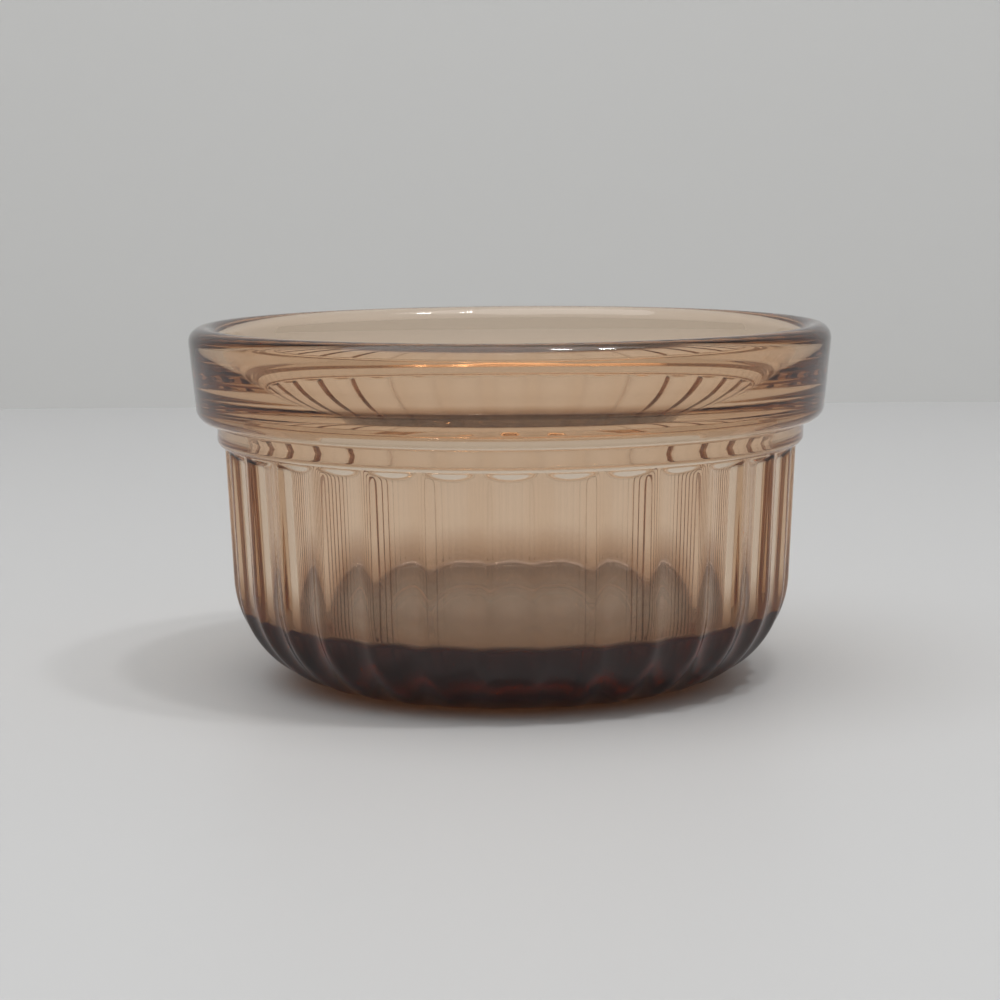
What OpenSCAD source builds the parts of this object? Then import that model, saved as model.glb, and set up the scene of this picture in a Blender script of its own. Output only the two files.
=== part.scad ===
// Pressed amber glass ramekin: a plain collar and neck ring over a fluted body on a thick rounded foot.
// Millimetres, +Z up. The origin is on the axis, in the plane of the standing ring.

/* [Rim and collar] */
// Widest diameter of the dish, across the lip
rim_diameter = 90; // [80:0.5:110]
// Height from the standing ring to the top of the lip
height = 50; // [46:0.5:70]
// Thickness of the fully rounded lip
lip_thickness = 4; // [3:0.1:5]
// Height of the plain collar, lip included
collar_height = 13.2; // [10:0.1:16]
// Angle by which the collar narrows downwards
collar_taper = 5.4; // [1:0.1:8]
// Rounding of the collar's lower edge
collar_edge_radius = 2; // [0.8:0.1:2]
// How far the foot of the collar stands out over the neck ring
collar_overhang = 2.7; // [2.7:0.1:5]

/* [Neck ring] */
// Height of the plain ring between the collar and the flutes
neck_height = 3.4; // [2:0.1:6]
// Rounding of the ring's lower edge, which is also its step out from the body
neck_edge_radius = 1; // [0.5:0.1:1.6]
// Fillet between the collar's underside and the ring
neck_fillet = 0.6; // [0.3:0.05:0.65]

/* [Fluted body] */
// Number of concave flutes round the body
flute_count = 32; // [20:1:40]
// Depth of a flute below the ridges beside it
flute_depth = 1.25; // [0.6:0.05:1.6]
// Width of the ridge left between two flutes, at the top of the body
ridge_width = 0.5; // [0.3:0.05:1.2]
// Slope of the ramp that closes the top of each flute
ramp_angle = 40; // [25:1:60]
// Draft of the fluted wall, narrower downwards
body_draft = 2.6; // [0.5:0.1:4]
// Radius of the rounded foot between the wall and the standing ring
foot_radius = 15; // [9:0.5:17]
// Plain band left between the lower ends of the flutes and the standing ring
foot_land = 0.8; // [0.5:0.1:3]

/* [Inside] */
// Glass between the bowl and the bottoms of the flutes, at the top of the body
wall_thickness = 1.8; // [1.4:0.1:2.6]
// Draft of the smooth inner wall
bowl_draft = 3; // [1:0.1:5]
// Thickness of the glass under the flat inner floor
floor_thickness = 10; // [6:0.5:13]
// Fillet between the inner wall and the inner floor
floor_fillet = 1; // [1:0.5:9]
// Lean of the hollow mouth where it meets the lip
mouth_flare = 6; // [3:0.5:10]
// Lean of the mouth's lower end, where it meets the shoulder
mouth_slope = 35.5; // [30:0.5:45]
// Rounding of the shoulder between the mouth and the bowl
shoulder_radius = 1.5; // [0.8:0.1:3]

/* [Underside] */
// Width of the flat ring that the dish stands on
ring_width = 4; // [2:0.5:7]
// Depth of the shallow recess inside the standing ring
recess_depth = 0.8; // [0.3:0.1:2]
// Slope of the recess's edge
recess_slope = 45; // [30:5:75]

/* [Hidden] */
$fa = 2;
$fs = 0.4;

// Each rounding stands this far proud of the faces that it blends, so that they cross cleanly.
bite = 0.005;
// Flutes start this far below the neck ring.
flute_margin = 0.15;
// Flutes bend this far below the standing plane, so that they grow shallow towards it.
runout = 0.05;
// Share of its own sector that a flute's cutter may fill.
sector_share = 0.97;
// Length by which cutters reach past the glass.
spare = 3;

// Rim and collar
rim_radius = rim_diameter / 2;
lip_radius = lip_thickness / 2;
lip_centre = [rim_radius - lip_radius, height - lip_radius];
collar_z = height - collar_height;
collar_top = lip_centre + (lip_radius - bite) * [cos(collar_taper), -sin(collar_taper)];
collar_foot_radius = collar_top.x - (collar_top.y - collar_z) * tan(collar_taper);
collar_round = collar_edge_radius - bite;
collar_edge_centre = [
    collar_foot_radius + collar_edge_radius * tan(collar_taper) - collar_round / cos(collar_taper),
    collar_z + collar_round
];
collar_edge_top = collar_edge_centre + collar_round * [cos(collar_taper), -sin(collar_taper)];

// Neck ring
neck_z = collar_z - neck_height;
neck_radius = collar_foot_radius - collar_overhang;
neck_edge_centre = [neck_radius - neck_edge_radius + bite, neck_z + neck_edge_radius - bite];
fillet_centre = [neck_radius + neck_fillet - bite, collar_z - neck_fillet + bite];

// Fluted body and foot
body_radius = neck_radius - neck_edge_radius;
foot_round = foot_radius - bite;
foot_centre = [
    body_radius - (neck_z - foot_round) * tan(body_draft) - foot_round / cos(body_draft),
    foot_round
];
foot_top = foot_centre + foot_round * [cos(body_draft), -sin(body_draft)];
standing_radius = foot_centre.x + sqrt(pow(foot_radius, 2) - pow(foot_round, 2));
half_pitch = 180 / flute_count;
flute_half_width = body_radius * tan(half_pitch) - ridge_width / 2;
flute_radius = (pow(flute_half_width, 2) + pow(flute_depth, 2)) / (2 * flute_depth);
bend_radius = foot_radius + runout;
bend_centre = foot_centre.x - (flute_depth + runout) / cos(body_draft);
ramp_z = neck_z - flute_margin;

// Inside
bowl_radius = body_radius - flute_depth - wall_thickness;
bowl_foot_radius = bowl_radius - (neck_z - floor_thickness) * tan(bowl_draft);
floor_round = floor_fillet - bite;
floor_centre = [
    bowl_foot_radius + floor_fillet * tan(bowl_draft) - floor_round / cos(bowl_draft),
    floor_thickness + floor_round
];
floor_top = floor_centre + floor_round * [cos(bowl_draft), -sin(bowl_draft)];
lip_round = lip_radius - bite;
shoulder_round = shoulder_radius - bite;
mouth_radius = (
    beside_bowl(lip_centre) - beside_bowl([bowl_radius, neck_z]) + lip_round * beside_bowl(lean(mouth_flare))
    - shoulder_round * (beside_bowl(lean(mouth_slope)) + 1 / cos(bowl_draft))
) / (beside_bowl(lean(mouth_slope)) - beside_bowl(lean(mouth_flare)));
mouth_centre = lip_centre + (lip_round + mouth_radius) * lean(mouth_flare);
mouth_top = lip_centre + lip_round * lean(mouth_flare);
mouth_end = mouth_centre - mouth_radius * lean(mouth_slope);
shoulder_centre = mouth_end - shoulder_round * lean(mouth_slope);
bowl_end = shoulder_centre + shoulder_round * lean(bowl_draft);
shoulder_half_turn = (mouth_slope - bowl_draft) / 2;
bowl_top = shoulder_centre + shoulder_round / cos(shoulder_half_turn) * lean(bowl_draft + shoulder_half_turn);

// Underside
recess_radius = standing_radius - ring_width;

// Direction into the hollow from a part of its wall that leans outwards by an angle
function lean(angle) = [-cos(angle), sin(angle)];

// Distance of a point from the axis, less what the draft of the bowl's wall adds at its height
function beside_bowl(point) = point.x - point.y * tan(bowl_draft);

// Filled outline of the collar, from its underside to the rounded lip
module collar_outline() {
    polygon([
        [0, collar_z],
        [collar_edge_centre.x, collar_z],
        collar_edge_top,
        collar_top,
        [0, collar_top.y]
    ]);
    translate(collar_edge_centre) circle(collar_edge_radius);
    translate(lip_centre) rotate(-90) circle(lip_radius);
}

// Filled outline of the neck ring, with its rounded lower edge and the fillet under the collar
module neck_outline() {
    polygon([
        [0, neck_z],
        [neck_edge_centre.x, neck_z],
        [neck_radius, neck_edge_centre.y],
        [neck_radius, collar_z + bite],
        [0, collar_z + bite]
    ]);
    translate(neck_edge_centre) circle(neck_edge_radius);
    difference() {
        polygon([
            [neck_edge_centre.x, fillet_centre.y],
            fillet_centre,
            [fillet_centre.x, collar_z + collar_round],
            [neck_edge_centre.x, collar_z + collar_round]
        ]);
        translate(fillet_centre) circle(neck_fillet);
    }
}

// Filled outline of the drafted wall and the rounded foot, without flutes
module body_outline() {
    polygon([[0, 0], [foot_centre.x, 0], foot_top, [body_radius, neck_z + bite], [0, neck_z + bite]]);
    translate(foot_centre) circle(foot_radius);
}

// Outline of the hollow: the drafted bowl, its filleted floor and the curved mouth above the shoulder
module hollow_outline() {
    difference() {
        union() {
            polygon([
                [0, floor_thickness],
                [floor_centre.x, floor_thickness],
                floor_top,
                bowl_top,
                [mouth_centre.x, bowl_top.y],
                mouth_top,
                lip_centre,
                [lip_centre.x, height + spare],
                [0, height + spare]
            ]);
            translate(floor_centre) circle(floor_fillet);
            translate(mouth_centre) circle(mouth_radius);
            shoulder_outline();
        }
        translate(lip_centre) circle(lip_radius);
    }
}

// Strip of the hollow beside the rounded shoulder, between the ends of the bowl's wall and of the mouth
module shoulder_outline() {
    difference() {
        translate([0, bowl_end.y]) square([shoulder_centre.x, mouth_end.y - bowl_end.y]);
        translate(shoulder_centre) circle(shoulder_radius);
    }
}

// Outline of the space under the dish: all below the standing ring, and the shallow recess inside it
module underside_outline() {
    polygon([
        [0, -spare],
        [rim_radius, -spare],
        [rim_radius, 0],
        [recess_radius, 0],
        [recess_radius - recess_depth / tan(recess_slope), recess_depth],
        [0, recess_depth]
    ]);
}

// The dish before its flutes are cut
module plain_dish() {
    rotate_extrude() {
        difference() {
            union() {
                collar_outline();
                neck_outline();
                body_outline();
            }
            hollow_outline();
            underside_outline();
        }
    }
}

// Round bar that follows the drafted wall and bends in under the foot, in the plane of +X
module flute_bar() {
    translate([bend_centre, 0, foot_round]) rotate([0, body_draft, 0]) {
        translate([bend_radius + flute_radius, 0, 0]) cylinder(r = flute_radius, h = neck_z);
        rotate([-90, 0, 0]) rotate_extrude(angle = 90 - body_draft)
            translate([bend_radius + flute_radius, 0]) circle(flute_radius);
    }
}

// Sector of the space that a flute may take, closed at the top by its ramp
module flute_sector() {
    inner_radius = standing_radius + foot_land;
    outer_radius = body_radius + flute_margin / 2;
    rotate([0, 0, -half_pitch * sector_share]) rotate_extrude(angle = 2 * half_pitch * sector_share)
        polygon([
            [inner_radius, -spare],
            [outer_radius, -spare],
            [outer_radius, ramp_z + (outer_radius - body_radius) * tan(ramp_angle)],
            [inner_radius, ramp_z - (body_radius - inner_radius) * tan(ramp_angle)]
        ]);
}

// Pressed glass dish, one flute centred on -Y
module dish() {
    color([0.72, 0.54, 0.36]) difference() {
        plain_dish();
        for (i = [0 : flute_count - 1])
            rotate([0, 0, 2 * half_pitch * i - 90]) intersection() {
                flute_bar();
                flute_sector();
            }
    }
}

dish();
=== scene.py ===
"""Amber pressed glass ramekin on a pale studio floor."""
import math

import bpy
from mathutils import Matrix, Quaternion, Vector


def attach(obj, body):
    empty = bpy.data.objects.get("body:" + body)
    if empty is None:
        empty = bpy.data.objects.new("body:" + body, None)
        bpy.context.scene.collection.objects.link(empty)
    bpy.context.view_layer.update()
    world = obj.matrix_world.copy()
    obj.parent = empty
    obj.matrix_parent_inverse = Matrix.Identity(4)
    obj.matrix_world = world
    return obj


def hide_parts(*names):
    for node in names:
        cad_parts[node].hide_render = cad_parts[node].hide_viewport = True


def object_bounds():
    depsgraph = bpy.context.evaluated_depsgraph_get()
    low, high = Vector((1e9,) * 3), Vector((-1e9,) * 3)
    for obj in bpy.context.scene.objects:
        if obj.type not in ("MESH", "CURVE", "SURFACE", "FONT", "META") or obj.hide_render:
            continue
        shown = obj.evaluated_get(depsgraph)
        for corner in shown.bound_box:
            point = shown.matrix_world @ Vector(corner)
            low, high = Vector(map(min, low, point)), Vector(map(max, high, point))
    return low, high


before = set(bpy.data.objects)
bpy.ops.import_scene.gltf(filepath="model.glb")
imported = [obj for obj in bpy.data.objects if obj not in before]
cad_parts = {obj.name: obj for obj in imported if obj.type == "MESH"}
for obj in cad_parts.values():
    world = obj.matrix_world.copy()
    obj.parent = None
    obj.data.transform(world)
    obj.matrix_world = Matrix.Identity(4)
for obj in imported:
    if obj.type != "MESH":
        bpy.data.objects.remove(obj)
CAD_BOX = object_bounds()

MM = 0.001

# Lip, collar and neck ring
RIM_RADIUS = (CAD_BOX[1].x - CAD_BOX[0].x) / 2
HEIGHT = CAD_BOX[1].z
LIP_RADIUS = 2 * MM
COLLAR_HEIGHT = 13.2 * MM
COLLAR_TAPER = math.radians(5.4)
COLLAR_EDGE_RADIUS = 2 * MM
COLLAR_OVERHANG = 2.7 * MM
NECK_HEIGHT = 3.4 * MM
NECK_EDGE_RADIUS = 1 * MM
NECK_FILLET = 0.6 * MM

# Fluted body and foot
FLUTE_COUNT = 32
FLUTE_DEPTH = 1.25 * MM
RIDGE_WIDTH = 0.5 * MM
RAMP_SLOPE = math.tan(math.radians(40))
RAMP_GAP = 0.15 * MM
BODY_DRAFT = math.radians(2.6)
FOOT_RADIUS = 15 * MM
FOOT_RUNOUT = 0.05 * MM
FOOT_FADE_SLOPE = 0.25
RIDGE_SOFTNESS = 0.5 * MM
END_SOFTNESS = 0.3 * MM

# Bowl and underside
WALL_THICKNESS = 1.8 * MM
BOWL_DRAFT = math.radians(3)
FLOOR_THICKNESS = 10 * MM
FLOOR_FILLET = 1 * MM
MOUTH_FLARE = math.radians(6)
MOUTH_SLOPE = math.radians(35.5)
SHOULDER_RADIUS = 1.5 * MM
RING_WIDTH = 4 * MM
RECESS_DEPTH = 0.8 * MM
RECESS_SLOPE = math.radians(45)
RECESS_ROUNDING = 0.5 * MM


def lean(angle):
    """Direction into the hollow from a part of its wall that leans outwards by an angle."""
    return Vector((-math.cos(angle), math.sin(angle)))


def beside_bowl(point):
    """Distance of a point from the axis, less what the draft of the bowl's wall adds at its height."""
    return point.x - point.y * math.tan(BOWL_DRAFT)


# Places worked out from the sizes above, each a radius and a height
LIP_CENTRE = Vector((RIM_RADIUS - LIP_RADIUS, HEIGHT - LIP_RADIUS))
COLLAR_Z = HEIGHT - COLLAR_HEIGHT
COLLAR_TOP = LIP_CENTRE + LIP_RADIUS * Vector((math.cos(COLLAR_TAPER), -math.sin(COLLAR_TAPER)))
COLLAR_FOOT_RADIUS = COLLAR_TOP.x - (COLLAR_TOP.y - COLLAR_Z) * math.tan(COLLAR_TAPER)
COLLAR_EDGE_CENTRE = Vector((
    COLLAR_FOOT_RADIUS + COLLAR_EDGE_RADIUS * (math.tan(COLLAR_TAPER) - 1 / math.cos(COLLAR_TAPER)),
    COLLAR_Z + COLLAR_EDGE_RADIUS,
))
NECK_RADIUS = COLLAR_FOOT_RADIUS - COLLAR_OVERHANG
NECK_Z = COLLAR_Z - NECK_HEIGHT
BODY_RADIUS = NECK_RADIUS - NECK_EDGE_RADIUS
FOOT_CENTRE = Vector((
    BODY_RADIUS - (NECK_Z - FOOT_RADIUS) * math.tan(BODY_DRAFT) - FOOT_RADIUS / math.cos(BODY_DRAFT),
    FOOT_RADIUS,
))
WALL_NORMAL = Vector((math.cos(BODY_DRAFT), -math.sin(BODY_DRAFT)))
HALF_PITCH = math.pi / FLUTE_COUNT
FLUTE_HALF_WIDTH = BODY_RADIUS * math.tan(HALF_PITCH) - RIDGE_WIDTH / 2
FLUTE_RADIUS = (FLUTE_HALF_WIDTH ** 2 + FLUTE_DEPTH ** 2) / (2 * FLUTE_DEPTH)
BEND_CENTRE = FOOT_CENTRE - Vector(((FLUTE_DEPTH + FOOT_RUNOUT) / math.cos(BODY_DRAFT), 0))
BEND_RADIUS = FOOT_RADIUS + FOOT_RUNOUT
RAMP_Z = NECK_Z - RAMP_GAP
BOWL_RADIUS = BODY_RADIUS - FLUTE_DEPTH - WALL_THICKNESS
FLOOR_CENTRE = Vector((
    BOWL_RADIUS - (NECK_Z - FLOOR_THICKNESS - FLOOR_FILLET) * math.tan(BOWL_DRAFT)
    - FLOOR_FILLET / math.cos(BOWL_DRAFT),
    FLOOR_THICKNESS + FLOOR_FILLET,
))
MOUTH_RADIUS = (
    beside_bowl(LIP_CENTRE) - beside_bowl(Vector((BOWL_RADIUS, NECK_Z)))
    + LIP_RADIUS * beside_bowl(lean(MOUTH_FLARE))
    - SHOULDER_RADIUS * (beside_bowl(lean(MOUTH_SLOPE)) + 1 / math.cos(BOWL_DRAFT))
) / (beside_bowl(lean(MOUTH_SLOPE)) - beside_bowl(lean(MOUTH_FLARE)))
MOUTH_CENTRE = LIP_CENTRE + (LIP_RADIUS + MOUTH_RADIUS) * lean(MOUTH_FLARE)
SHOULDER_CENTRE = MOUTH_CENTRE - (MOUTH_RADIUS + SHOULDER_RADIUS) * lean(MOUTH_SLOPE)
RECESS_RADIUS = FOOT_CENTRE.x - RING_WIDTH

# Colour of the glass: what its depth absorbs, what each surface tints, and painted shade that darkens the
# foot
GLASS_COLOUR = (0.7, 0.45, 0.15, 1)
GLASS_DENSITY = 100
SURFACE_TINT = (1, 0.9, 0.8)
# Painted shade: a dark tint on the foot stands in for the shadow under and behind the dish seen through it
FOOT_SHADE_COLOUR = (0.13, 0.06, 0.03, 1)
FOOT_SHADE_LAYERS = 1.5
FOOT_SHADE_FULL = 3 * MM
FOOT_SHADE_END = 17 * MM
UNDERSIDE_SHADE_SHARE = 0.3
FLOOR_MARGIN = 0.1 * MM

# Surface of the glass
GLASS_IOR = 1.517
POLISHED_ROUGHNESS = 0.01
STIPPLED_ROUGHNESS = 0.5
RIPPLE_SCALE = 90
RIPPLE_DETAIL = 1.5
RIPPLE_HEIGHT = 0.02 * MM

# How finely the dish is modelled: steps along each stretch of its profile, then columns across a flute
RECESS_STEPS = 3
RING_STEPS = 2
FOOT_STEPS = 32
WALL_STEPS = 5
FLUTE_TOP_STEPS = 20
FLUTE_TOP_BAND = 2.4 * MM
NECK_EDGE_STEPS = 6
NECK_STEPS = 2
NECK_FILLET_STEPS = 5
COLLAR_EDGE_STEPS = 9
COLLAR_STEPS = 3
LIP_STEPS = 24
MOUTH_STEPS = 12
SHOULDER_STEPS = 6
BOWL_STEPS = 4
FILLET_STEPS = 12
FLOOR_STEPS = 3
FLUTE_COLUMNS = 18
COLUMN_CROWDING = math.radians(70)
PRESSING_ROUNDS = 8
WELD_DISTANCE = 0.002 * MM
SMOOTH_ANGLE = math.radians(40)

# Camera, matched to the photograph
CAMERA_PLACE = Vector((0, -359.4 * MM, 71.8 * MM))
CAMERA_PITCH = math.radians(7.45)
CAMERA_YAW = math.radians(0.243)
CAMERA_ROLL = math.radians(-0.45)
CAMERA_LENS_MM = 91.8
SENSOR_MM = 36
CAMERA_CLIP_START = 10 * MM

# Studio
WALL_DISTANCE = 412 * MM
FLOOR_GAP = 0.03 * MM
STAGE_REACH = 2.0
FLOOR_COLOUR = (0.48, 0.48, 0.48, 1)
WALL_COLOUR = (0.58, 0.58, 0.57, 1)
STAGE_ROUGHNESS = 0.5
HORIZON_LIGHT = 0.35
OVERHEAD_LIGHT = 0.7
OVERHEAD_RISE = 0.8
LIGHT_BOUNCES = 24


class Shade:
    """A socket in a material's node tree, on which Python's operators add Math nodes."""

    def __init__(self, tree, socket):
        self.tree = tree
        self.socket = socket

    def node(self, kind, settings=None, output=0, **values):
        """Adds a node, sets it up, feeds its sockets and returns an output. _0 is a socket's number."""
        made = self.tree.nodes.new(kind)
        for name, value in (settings or {}).items():
            setattr(made, name, value)
        for name, value in values.items():
            key = int(name[1:]) if name[0] == "_" and name[1:].isdigit() else name.replace("_", " ")
            if isinstance(value, Shade):
                self.tree.links.new(value.socket, made.inputs[key])
            else:
                made.inputs[key].default_value = value
        return Shade(self.tree, made.outputs[output])

    def maths(self, operation, first, second):
        """Adds a Math node with two values or links."""
        return self.node("ShaderNodeMath", {"operation": operation}, _0=first, _1=second)

    def __add__(self, other):
        return self.maths("ADD", self, other)

    def __radd__(self, other):
        return self.maths("ADD", other, self)

    def __sub__(self, other):
        return self.maths("SUBTRACT", self, other)

    def __rsub__(self, other):
        return self.maths("SUBTRACT", other, self)

    def __mul__(self, other):
        return self.maths("MULTIPLY", self, other)

    def __rmul__(self, other):
        return self.maths("MULTIPLY", other, self)


def new_material(name):
    """A material with only its output node, that node, and an empty Shade to start from."""
    material = bpy.data.materials.new(name)
    material.use_nodes = True
    tree = material.node_tree
    tree.nodes.clear()
    output = tree.nodes.new("ShaderNodeOutputMaterial")
    return material, output, Shade(tree, None)


def join(shade, output, socket):
    """Links a finished shader to the output node's named socket."""
    shade.tree.links.new(shade.socket, output.inputs[socket])


def shade_the_foot(start, radius, height):
    """Painted shade on the outside of the foot: full at the standing ring, fading up the wall."""
    below_floor = start.maths("LESS_THAN", height, FLOOR_THICKNESS - FLOOR_MARGIN)
    off_axis = start.node("ShaderNodeMapRange", {"interpolation_type": "SMOOTHSTEP"}, Value=radius,
                          From_Min=0, From_Max=FOOT_CENTRE.x + RING_WIDTH,
                          To_Min=UNDERSIDE_SHADE_SHARE, To_Max=1)
    on_foot = below_floor * off_axis
    from_bowl = radius - height * math.tan(BOWL_DRAFT)
    bowl_wall = beside_bowl(Vector((BOWL_RADIUS, NECK_Z)))
    on_wall = start.maths("GREATER_THAN", from_bowl, bowl_wall + WALL_THICKNESS / 2)
    outside = start.maths("MAXIMUM", on_foot, on_wall)
    low = start.node("ShaderNodeMapRange", {"interpolation_type": "SMOOTHSTEP"}, Value=height,
                     From_Min=FOOT_SHADE_FULL, From_Max=FOOT_SHADE_END, To_Min=FOOT_SHADE_LAYERS, To_Max=0)
    # The dark tint made here is painted shade, strongest low on the foot and fading upwards
    return start.node("ShaderNodeGamma", Color=FOOT_SHADE_COLOUR, Gamma=outside * low)


def amber_glass():
    """Clear pressed glass: amber in its depth, with painted shade at the foot, faintly wavy, stippled
    underneath.
    """
    material, output, start = new_material("amber_glass")
    place = start.node("ShaderNodeTexCoord", output="Object")
    level = start.node("ShaderNodeVectorMath", {"operation": "MULTIPLY"}, _0=place, _1=(1, 1, 0))
    radius = start.node("ShaderNodeVectorMath", {"operation": "LENGTH"}, output="Value", _0=level)
    height = start.node("ShaderNodeSeparateXYZ", output="Z", Vector=place)
    # Painted shade on the foot, multiplied into the glass colour
    painted_shade = shade_the_foot(start, radius, height)
    colour = start.node("ShaderNodeVectorMath", {"operation": "MULTIPLY"}, _0=painted_shade, _1=SURFACE_TINT)
    inside_ring = start.maths("LESS_THAN", radius, FOOT_CENTRE.x)
    underneath = inside_ring * start.maths("LESS_THAN", height, FLOOR_THICKNESS / 2)
    roughness = underneath * STIPPLED_ROUGHNESS + POLISHED_ROUGHNESS
    ripple = start.node("ShaderNodeTexNoise", Vector=place, Scale=RIPPLE_SCALE, Detail=RIPPLE_DETAIL)
    bump = start.node("ShaderNodeBump", Height=ripple, Strength=1, Distance=RIPPLE_HEIGHT)
    glass = start.node("ShaderNodeBsdfPrincipled", Base_Color=colour, Roughness=roughness, IOR=GLASS_IOR,
                       Transmission_Weight=1, Normal=bump)
    depth = start.node("ShaderNodeVolumeAbsorption", Color=GLASS_COLOUR, Density=GLASS_DENSITY)
    join(glass, output, "Surface")
    join(depth, output, "Volume")
    return material


def matt_surface(name, colour):
    """Plain matt surface of the floor or the backdrop."""
    material, output, start = new_material(name)
    matt = start.node("ShaderNodeBsdfPrincipled", Base_Color=colour, Roughness=STAGE_ROUGHNESS)
    join(matt, output, "Surface")
    return material


def line(start, end, steps):
    """Points from start to end, start left out."""
    return [start.lerp(end, (i + 1) / steps) for i in range(steps)]


def arc(centre, radius, start, end, steps):
    """Points of a round stretch between two angles, the first left out."""
    angles = [start + (end - start) * (i + 1) / steps for i in range(steps)]
    return [centre + radius * Vector((math.cos(a), math.sin(a))) for a in angles]


def underside_profile():
    """From the middle of the recess to the outer edge of the standing ring."""
    step = RECESS_ROUNDING * math.tan(RECESS_SLOPE / 2)
    inner = Vector((RECESS_RADIUS - RECESS_DEPTH / math.tan(RECESS_SLOPE), RECESS_DEPTH))
    outer = Vector((RECESS_RADIUS, 0))
    inner_centre = inner - Vector((step, RECESS_ROUNDING))
    outer_centre = outer + Vector((step, RECESS_ROUNDING))
    up = math.pi / 2
    points = [Vector((0, RECESS_DEPTH))]
    points += line(points[-1], inner - Vector((step, 0)), RECESS_STEPS)
    points += arc(inner_centre, RECESS_ROUNDING, up, up - RECESS_SLOPE, RECESS_STEPS)
    points += arc(outer_centre, RECESS_ROUNDING, -up - RECESS_SLOPE, -up, RECESS_STEPS)
    points += line(points[-1], Vector((FOOT_CENTRE.x, 0)), RING_STEPS)
    return points


def body_profile():
    """From the standing ring round the foot and up the wall to the neck ring's underside."""
    points = arc(FOOT_CENTRE, FOOT_RADIUS, -math.pi / 2, -BODY_DRAFT, FOOT_STEPS)
    along = Vector((math.tan(BODY_DRAFT), 1))
    top = Vector((BODY_RADIUS, NECK_Z))
    points += line(points[-1], top - FLUTE_TOP_BAND * along, WALL_STEPS)
    points += line(points[-1], top, FLUTE_TOP_STEPS)
    return points


def collar_profile():
    """From the neck ring's lower edge up over the collar to the inner side of the rounded lip."""
    edge_centre = Vector((BODY_RADIUS, NECK_Z + NECK_EDGE_RADIUS))
    fillet_centre = Vector((NECK_RADIUS + NECK_FILLET, COLLAR_Z - NECK_FILLET))
    points = arc(edge_centre, NECK_EDGE_RADIUS, -math.pi / 2, 0, NECK_EDGE_STEPS)
    points += line(points[-1], fillet_centre - Vector((NECK_FILLET, 0)), NECK_STEPS)
    points += arc(fillet_centre, NECK_FILLET, math.pi, math.pi / 2, NECK_FILLET_STEPS)
    points += [COLLAR_EDGE_CENTRE - Vector((0, COLLAR_EDGE_RADIUS))]
    points += arc(COLLAR_EDGE_CENTRE, COLLAR_EDGE_RADIUS, -math.pi / 2, -COLLAR_TAPER, COLLAR_EDGE_STEPS)
    points += line(points[-1], COLLAR_TOP, COLLAR_STEPS)
    points += arc(LIP_CENTRE, LIP_RADIUS, -COLLAR_TAPER, math.pi - MOUTH_FLARE, LIP_STEPS)
    return points


def bowl_profile():
    """From the lip down the curved mouth, the shoulder and the drafted bowl to the middle of the floor."""
    points = arc(MOUTH_CENTRE, MOUTH_RADIUS, -MOUTH_FLARE, -MOUTH_SLOPE, MOUTH_STEPS)
    shoulder_ends = math.pi - MOUTH_SLOPE, math.pi - BOWL_DRAFT
    points += arc(SHOULDER_CENTRE, SHOULDER_RADIUS, *shoulder_ends, SHOULDER_STEPS)
    points += line(points[-1], FLOOR_CENTRE - FLOOR_FILLET * lean(BOWL_DRAFT), BOWL_STEPS)
    points += arc(FLOOR_CENTRE, FLOOR_FILLET, -BOWL_DRAFT, -math.pi / 2, FILLET_STEPS)
    points += line(points[-1], Vector((0, FLOOR_THICKNESS)), FLOOR_STEPS)
    return points


def soft_least(first, second, softness):
    """The smaller of two depths, with the edge between them rounded."""
    return (first + second - math.hypot(first - second, softness)) / 2


def soft_most(first, second, softness):
    """The larger of two depths, with the edge between them rounded."""
    return (first + second + math.hypot(first - second, softness)) / 2


def bar_depth(point, normal, turn):
    """How far a point of the plain wall is pressed in, along its normal, to reach a flute's round bar."""
    depth = 0
    for _ in range(PRESSING_ROUNDS):
        pressed = point - depth * normal
        across = pressed.x * math.sin(turn)
        ahead = Vector((pressed.x * math.cos(turn), pressed.y)) - BEND_CENTRE
        reach = ahead.length if ahead.y < -ahead.x * math.tan(BODY_DRAFT) else ahead.dot(WALL_NORMAL)
        sag = math.sqrt(max(FLUTE_RADIUS ** 2 - across ** 2, 0))
        depth += reach - (BEND_RADIUS + FLUTE_RADIUS - sag)
    return depth


def pressed_depth(point, normal, turn):
    """Depth of the glass surface below the plain wall, at a turn from the middle of a flute."""
    turn = abs(turn)
    bars = bar_depth(point, normal, turn), bar_depth(point, normal, 2 * HALF_PITCH - turn)
    depth = soft_most(*bars, RIDGE_SOFTNESS) - RIDGE_SOFTNESS / 2
    depth = soft_least(depth, (RAMP_Z - point.y) / RAMP_SLOPE, END_SOFTNESS)
    depth = soft_least(depth, (point.x - FOOT_CENTRE.x) * FOOT_FADE_SLOPE, END_SOFTNESS)
    return soft_most(depth, 0, END_SOFTNESS)


def press_flute(mesh):
    """Crowds the sector's columns towards the ridges and presses the flute into its outer wall."""
    for vertex in mesh.vertices:
        radius = math.hypot(vertex.co.x, vertex.co.y)
        if radius < WELD_DISTANCE:
            continue
        turn = math.atan2(vertex.co.x, -vertex.co.y)
        turn = HALF_PITCH * math.sin(turn / HALF_PITCH * COLUMN_CROWDING) / math.sin(COLUMN_CROWDING)
        point = Vector((radius, vertex.co.z))
        from_foot = point - FOOT_CENTRE
        on_foot = from_foot.y < -from_foot.x * math.tan(BODY_DRAFT)
        normal = from_foot.normalized() if on_foot else WALL_NORMAL
        outside = from_foot.length if on_foot else from_foot.dot(WALL_NORMAL)
        if point.x > FOOT_CENTRE.x and point.y < NECK_Z and abs(outside - FOOT_RADIUS) < WELD_DISTANCE:
            point -= pressed_depth(point, normal, turn) * normal
        vertex.co = (point.x * math.sin(turn), -point.x * math.cos(turn), point.y)


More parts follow.
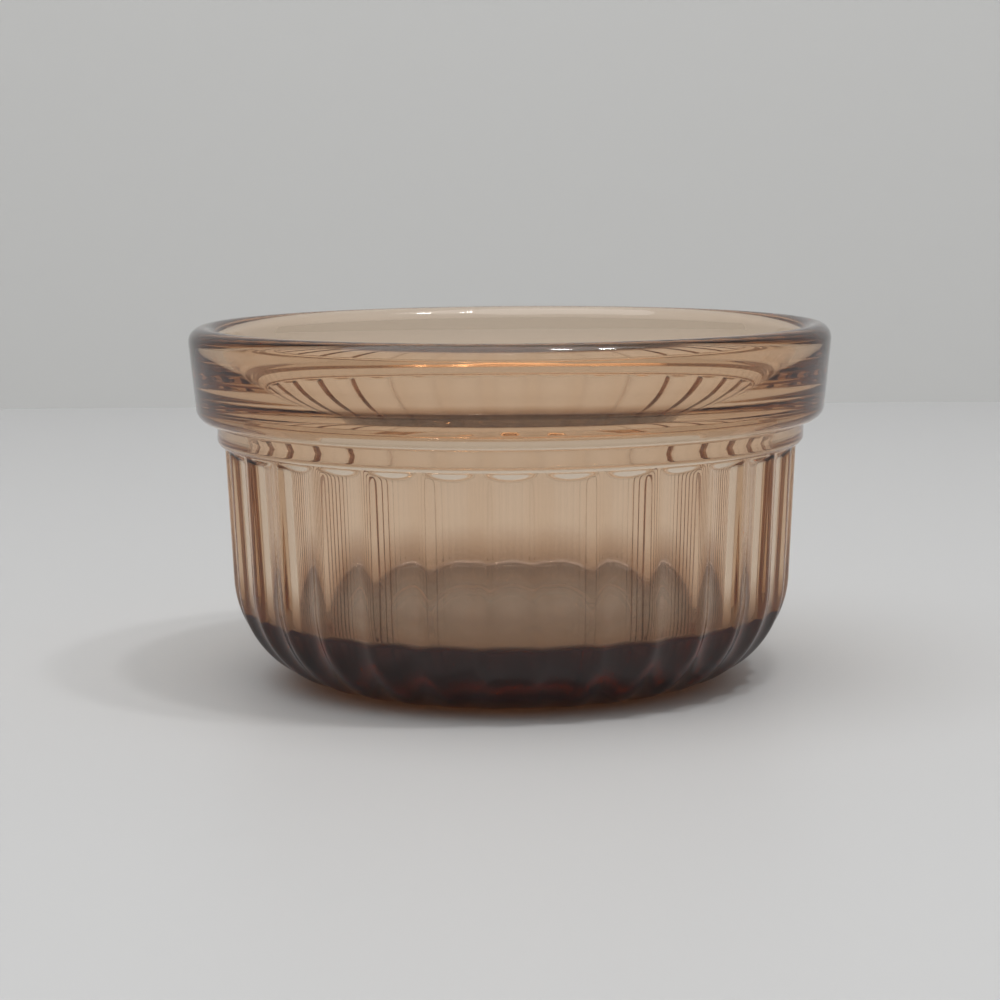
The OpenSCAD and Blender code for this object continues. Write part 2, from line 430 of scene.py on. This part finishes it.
def draw_half_profile(points):
    """A line through the points, at one side of a flute's sector and open along the axis."""
    bpy.ops.object.select_all(action="DESELECT")
    bpy.ops.mesh.primitive_circle_add(vertices=len(points), fill_type="NOTHING")
    profile = bpy.context.object
    mesh = profile.data
    for vertex, point in zip(mesh.vertices, points):
        vertex.co = (point.x * math.sin(HALF_PITCH), -point.x * math.cos(HALF_PITCH), point.y)
    bpy.ops.object.mode_set(mode="EDIT")
    bpy.ops.mesh.select_mode(type="EDGE")
    bpy.ops.mesh.select_all(action="DESELECT")
    bpy.ops.object.mode_set(mode="OBJECT")
    for edge in mesh.edges:
        edge.select = all(math.hypot(*mesh.vertices[i].co.xy) < WELD_DISTANCE for i in edge.vertices)
    bpy.ops.object.mode_set(mode="EDIT")
    bpy.ops.mesh.delete(type="EDGE")
    bpy.ops.object.mode_set(mode="OBJECT")
    return profile


def spin_about_axis(steps, angle, copies):
    """Spins the whole mesh about the axis of the dish, into a surface or into copies."""
    bpy.ops.object.mode_set(mode="EDIT")
    bpy.ops.mesh.select_all(action="SELECT")
    bpy.ops.mesh.spin(steps=steps, angle=angle, dupli=copies, center=(0, 0, 0), axis=(0, 0, 1))
    bpy.ops.object.mode_set(mode="OBJECT")


def close_surface():
    """Welds the sectors into one closed surface that faces outwards, and smooths it."""
    bpy.ops.object.mode_set(mode="EDIT")
    bpy.ops.mesh.select_all(action="SELECT")
    bpy.ops.mesh.remove_doubles(threshold=WELD_DISTANCE)
    bpy.ops.mesh.dissolve_degenerate(threshold=WELD_DISTANCE / 10)
    bpy.ops.mesh.normals_make_consistent(inside=False)
    bpy.ops.object.mode_set(mode="OBJECT")
    bpy.ops.object.shade_smooth_by_angle(angle=SMOOTH_ANGLE)


def model_dish():
    """The dish: its half profile is spun over one flute, the flute is pressed, and the sector is repeated."""
    dish = draw_half_profile(underside_profile() + body_profile() + collar_profile() + bowl_profile())
    dish.name = "glass_dish"
    dish.data.name = "glass_dish"
    spin_about_axis(FLUTE_COLUMNS, 2 * HALF_PITCH, copies=False)
    press_flute(dish.data)
    spin_about_axis(FLUTE_COUNT - 1, 2 * math.pi - 2 * HALF_PITCH, copies=True)
    close_surface()
    dish.data.materials.append(amber_glass())
    return dish


def model_stage(name, near, far, colour):
    """Flat sheet of the studio, as wide as the stage, from one edge's place in Y and Z to the other's."""
    bpy.ops.object.select_all(action="DESELECT")
    bpy.ops.mesh.primitive_plane_add(size=2)
    sheet = bpy.context.object
    sheet.name = name
    for vertex in sheet.data.vertices:
        edge = far if vertex.co.y > 0 else near
        vertex.co = (vertex.co.x * STAGE_REACH, *edge)
    sheet.data.materials.append(matt_surface(name, colour))


def place_camera():
    """Camera at the photograph's place and angle."""
    data = bpy.data.cameras.new("camera")
    data.lens = CAMERA_LENS_MM
    data.sensor_width = SENSOR_MM
    data.clip_start = CAMERA_CLIP_START
    camera = bpy.data.objects.new("camera", data)
    bpy.context.scene.collection.objects.link(camera)
    camera.location = CAMERA_PLACE
    camera.rotation_mode = "QUATERNION"
    level = Quaternion((0, 0, 1), CAMERA_YAW) @ Quaternion((1, 0, 0), math.pi / 2 - CAMERA_PITCH)
    camera.rotation_quaternion = level @ Quaternion((0, 0, 1), CAMERA_ROLL)
    bpy.context.scene.camera = camera


def softbox(name, place, size, power):
    """Square lamp that looks at the dish."""
    data = bpy.data.lights.new(name, "AREA")
    data.energy = power
    data.size = size
    lamp = bpy.data.objects.new(name, data)
    bpy.context.scene.collection.objects.link(lamp)
    lamp.location = place
    lamp.rotation_mode = "QUATERNION"
    lamp.rotation_quaternion = (-Vector(place)).to_track_quat("-Z", "Y")


def light_studio():
    """Soft light from above, two small lamps for glints, and a world that is dim at the horizon."""
    softbox("overhead", place=(-0.13, -0.19, 0.9), size=1, power=5.2)
    softbox("spark", place=(0.17, -0.2, 0.9), size=0.06, power=1.2)
    softbox("glint", place=(0.34, -0.2, 0.85), size=0.06, power=1.2)
    world = bpy.data.worlds.new("studio")
    bpy.context.scene.world = world
    world.use_nodes = True
    tree = world.node_tree
    tree.nodes.clear()
    output = tree.nodes.new("ShaderNodeOutputWorld")
    start = Shade(tree, None)
    direction = start.node("ShaderNodeTexCoord", output="Generated")
    height = start.node("ShaderNodeSeparateXYZ", output="Z", Vector=direction)
    level = start.node("ShaderNodeMapRange", {"interpolation_type": "SMOOTHSTEP"}, Value=height, From_Min=0,
                       From_Max=OVERHEAD_RISE, To_Min=HORIZON_LIGHT, To_Max=OVERHEAD_LIGHT)
    sky = start.node("ShaderNodeBackground", Color=(1, 1, 1, 1), Strength=level)
    join(sky, output, "Surface")


def follow_long_paths():
    """Lets light reflect inside the glass often enough, because the usual limits turn long paths black."""
    cycles = bpy.context.scene.cycles
    cycles.max_bounces = LIGHT_BOUNCES
    cycles.glossy_bounces = LIGHT_BOUNCES
    cycles.transmission_bounces = LIGHT_BOUNCES


place_camera()
glass_dish = model_dish()
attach(glass_dish, "root")
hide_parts("dish")
model_stage("floor", (-STAGE_REACH, -FLOOR_GAP), (WALL_DISTANCE, -FLOOR_GAP), FLOOR_COLOUR)
model_stage("backdrop", (WALL_DISTANCE, -FLOOR_GAP), (WALL_DISTANCE, STAGE_REACH), WALL_COLOUR)
light_studio()
follow_long_paths()
bpy.context.scene.view_settings.view_transform = "Standard"
